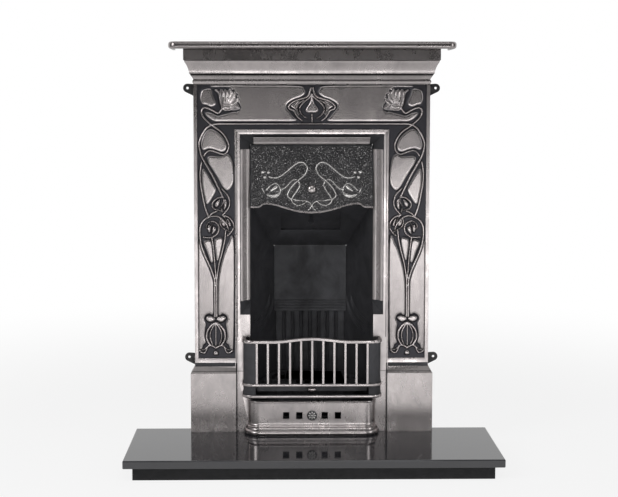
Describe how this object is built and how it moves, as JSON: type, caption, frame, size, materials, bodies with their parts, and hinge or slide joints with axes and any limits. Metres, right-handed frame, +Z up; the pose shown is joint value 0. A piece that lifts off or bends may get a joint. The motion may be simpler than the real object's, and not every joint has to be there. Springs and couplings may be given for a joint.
{
  "type": "cast iron fireplace",
  "caption": "Cast iron combination fireplace with mantel shelf, relief side panels, hanging canopy, front bars, grate, ash-pan cover and a dark polished stone hearth.",
  "frame": {"origin": "middle of the whole object's footprint, at the level of the floor under the hearth", "axes": "+X to the viewer's right, +Y from the room towards the wall, +Z up"},
  "size_m": [1.219, 0.597, 1.405],
  "materials": {
    "polished_iron": "satin",
    "black_iron": "matte",
    "granite": "polished",
    "mortar": "matte",
    "sheet_steel": "satin"
  },
  "bodies": {
    "fireplace_body": {"canopy_hanger": "black_iron", "cheek_screw_1": "black_iron", "cheek_screw_2": "black_iron", "cheek_screw_3": "black_iron", "cheek_screw_4": "black_iron", "damper_hinge_pin": "black_iron", "fireback_left_cheek": "black_iron", "fireback_reeded_plate": "black_iron", "fireback_right_cheek": "black_iron", "fireback_upper_plate": "black_iron", "fixing_lug_bottom_left": "black_iron", "fixing_lug_bottom_right": "black_iron", "fixing_lug_top_left": "black_iron", "fixing_lug_top_right": "black_iron", "grate_bearer_left": "black_iron", "grate_bearer_right": "black_iron", "hanger_screw_1": "black_iron", "hanger_screw_2": "black_iron", "hearth_front_riser": "granite", "hearth_left_riser": "granite", "hearth_mortar_bed": "mortar", "hearth_right_riser": "granite", "hearth_slab": "granite", "lug_screw_bottom_left": "black_iron", "lug_screw_bottom_right": "black_iron", "lug_screw_top_left": "black_iron", "lug_screw_top_right": "black_iron", "mantel_shelf": "polished_iron", "shelf_screw_1": "black_iron", "shelf_screw_2": "black_iron", "shelf_screw_3": "black_iron", "shelf_screw_4": "black_iron", "surround_casting": "polished_iron", "throat_plate": "black_iron"},
    "canopy_body": {"canopy": "black_iron", "canopy_knob": "polished_iron", "canopy_knob_screw": "black_iron", "canopy_pivot_rod": "black_iron"},
    "damper_body": {"damper_flap": "black_iron", "damper_pull": "black_iron"},
    "bars_body": {"front_bars": "polished_iron"},
    "grate_body": {"bottom_grate": "black_iron", "grate_knob": "polished_iron"},
    "cover_body": {"ash_pan_cover": "polished_iron", "vent_guide_top": "black_iron", "vent_guide_bottom": "black_iron"},
    "vent_body": {"vent_shutter": "black_iron", "vent_knob": "polished_iron", "vent_knob_screw": "black_iron"},
    "pan_body": {"ash_pan": "sheet_steel", "ash_pan_handle": "sheet_steel"}
  },
  "joints": [
    {"name": "canopy_swing", "type": "hinge", "parent": "fireplace_body", "child": "canopy_body", "pos_m": [0, 0.0865, 1.05], "axis": [-1, 0, 0], "range_deg": [0, 20]},
    {"name": "damper_swing", "type": "hinge", "parent": "fireplace_body", "child": "damper_body", "pos_m": [0, 0.22164, 0.75609], "axis": [-1, 0, 0], "range_deg": [0, 60]},
    {"name": "front_bars_lift", "type": "slide", "parent": "fireplace_body", "child": "bars_body", "axis": [0, 0, 1], "range_m": [0, 0.06]},
    {"name": "bottom_grate_lift", "type": "slide", "parent": "fireplace_body", "child": "grate_body", "axis": [0, 0, 1], "range_m": [0, 0.12]},
    {"name": "cover_pull", "type": "slide", "parent": "fireplace_body", "child": "cover_body", "axis": [0, -1, 0], "range_m": [0, 0.25]},
    {"name": "vent_slide", "type": "slide", "parent": "cover_body", "child": "vent_body", "axis": [1, 0, 0], "range_m": [-0.014, 0.014]},
    {"name": "ash_pan_pull", "type": "slide", "parent": "fireplace_body", "child": "pan_body", "axis": [0, -1, 0], "range_m": [0, 0.25]}
  ],
  "couplings": [
    {"joint": "ash_pan_pull", "follows": "cover_pull", "ratio": 1}
  ]
}
